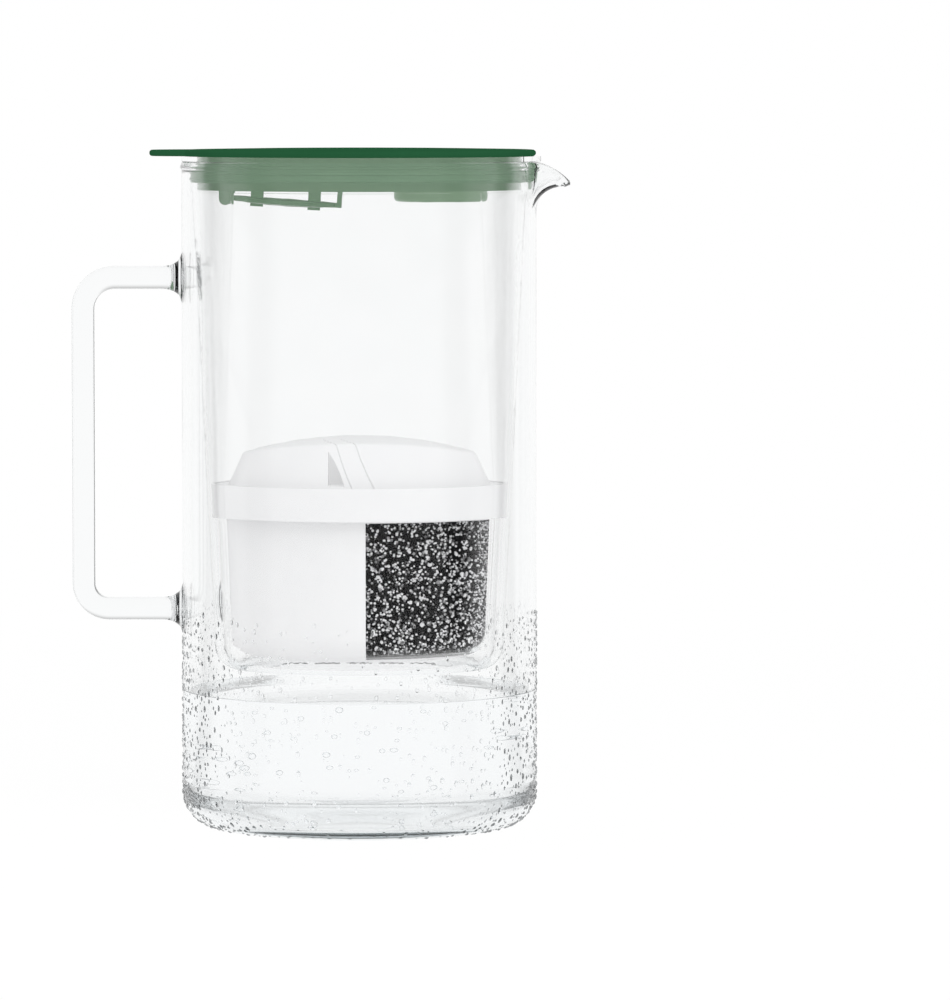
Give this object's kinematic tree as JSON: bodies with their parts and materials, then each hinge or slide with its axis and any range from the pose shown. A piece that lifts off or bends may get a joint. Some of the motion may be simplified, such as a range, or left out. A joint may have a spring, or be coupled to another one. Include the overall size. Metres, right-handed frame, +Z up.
{
  "type": "water filter pitcher",
  "caption": "Tall glass jug with a rod handle and pouring lip, a clear lift-out hopper holding an oval filter cartridge, and a green lid with refill flap.",
  "frame": {"origin": "centre of the flat base, on the jug's axis, where it stands on the table", "axes": "+Z up along the jug's axis, +X towards the pouring lip, handle on the -X side"},
  "size_m": [0.1749, 0.125, 0.2372],
  "materials": {
    "glass": "clear polished glass",
    "clear_plastic": "clear moulded plastic",
    "seal_green": "soft silicone",
    "cartridge_white": "white moulded plastic",
    "granules": "mixed black and white granules",
    "screen_net": "fine white net",
    "lid_green": "dark green polished plastic",
    "plug_green": "pale green moulded plastic",
    "steel": "drawn steel",
    "board_green": "circuit board",
    "switch_black": "moulded switch",
    "led_white": "clear resin"
  },
  "bodies": {
    "jug": {"glass_jug": "glass", "glass_handle": "glass"},
    "hopper": {"hopper": "clear_plastic", "hopper_seal": "seal_green"},
    "cartridge": {"cartridge_shell": "cartridge_white", "cartridge_cap": "cartridge_white", "cartridge_window": "clear_plastic", "filter_media": "granules", "inlet_screen": "screen_net", "outlet_screen": "screen_net"},
    "lid": {"lid_plate": "lid_green", "lid_plug": "plug_green", "flap_hinge_pin": "plug_green", "indicator_housing": "plug_green", "indicator_gasket": "seal_green", "indicator_board": "board_green", "push_switch": "switch_black", "status_led": "led_white", "coin_cell": "steel", "cell_clip": "steel", "indicator_lens": "clear_plastic"},
    "refill_flap": {"refill_flap": "plug_green"},
    "reset_button": {"reset_button": "lid_green"}
  },
  "joints": [
    {"name": "hopper_lift", "type": "slide", "parent": "jug", "child": "hopper", "axis": [0, 0, 1], "range_m": [0, 0.19]},
    {"name": "cartridge_lift", "type": "slide", "parent": "hopper", "child": "cartridge", "axis": [0, 0, 1], "range_m": [0, 0.038]},
    {"name": "lid_lift", "type": "slide", "parent": "hopper", "child": "lid", "axis": [0, 0, 1], "range_m": [0, 0.06]},
    {"name": "flap_hinge", "type": "hinge", "parent": "lid", "child": "refill_flap", "pos_m": [-0.0462, 0, 0.2198], "axis": [0, 1, 0], "range_deg": [-4, 56]},
    {"name": "button_press", "type": "slide", "parent": "lid", "child": "reset_button", "axis": [0, 0, -1], "range_m": [0, 0.0008], "stiffness_N_per_m": 1500}
  ]
}
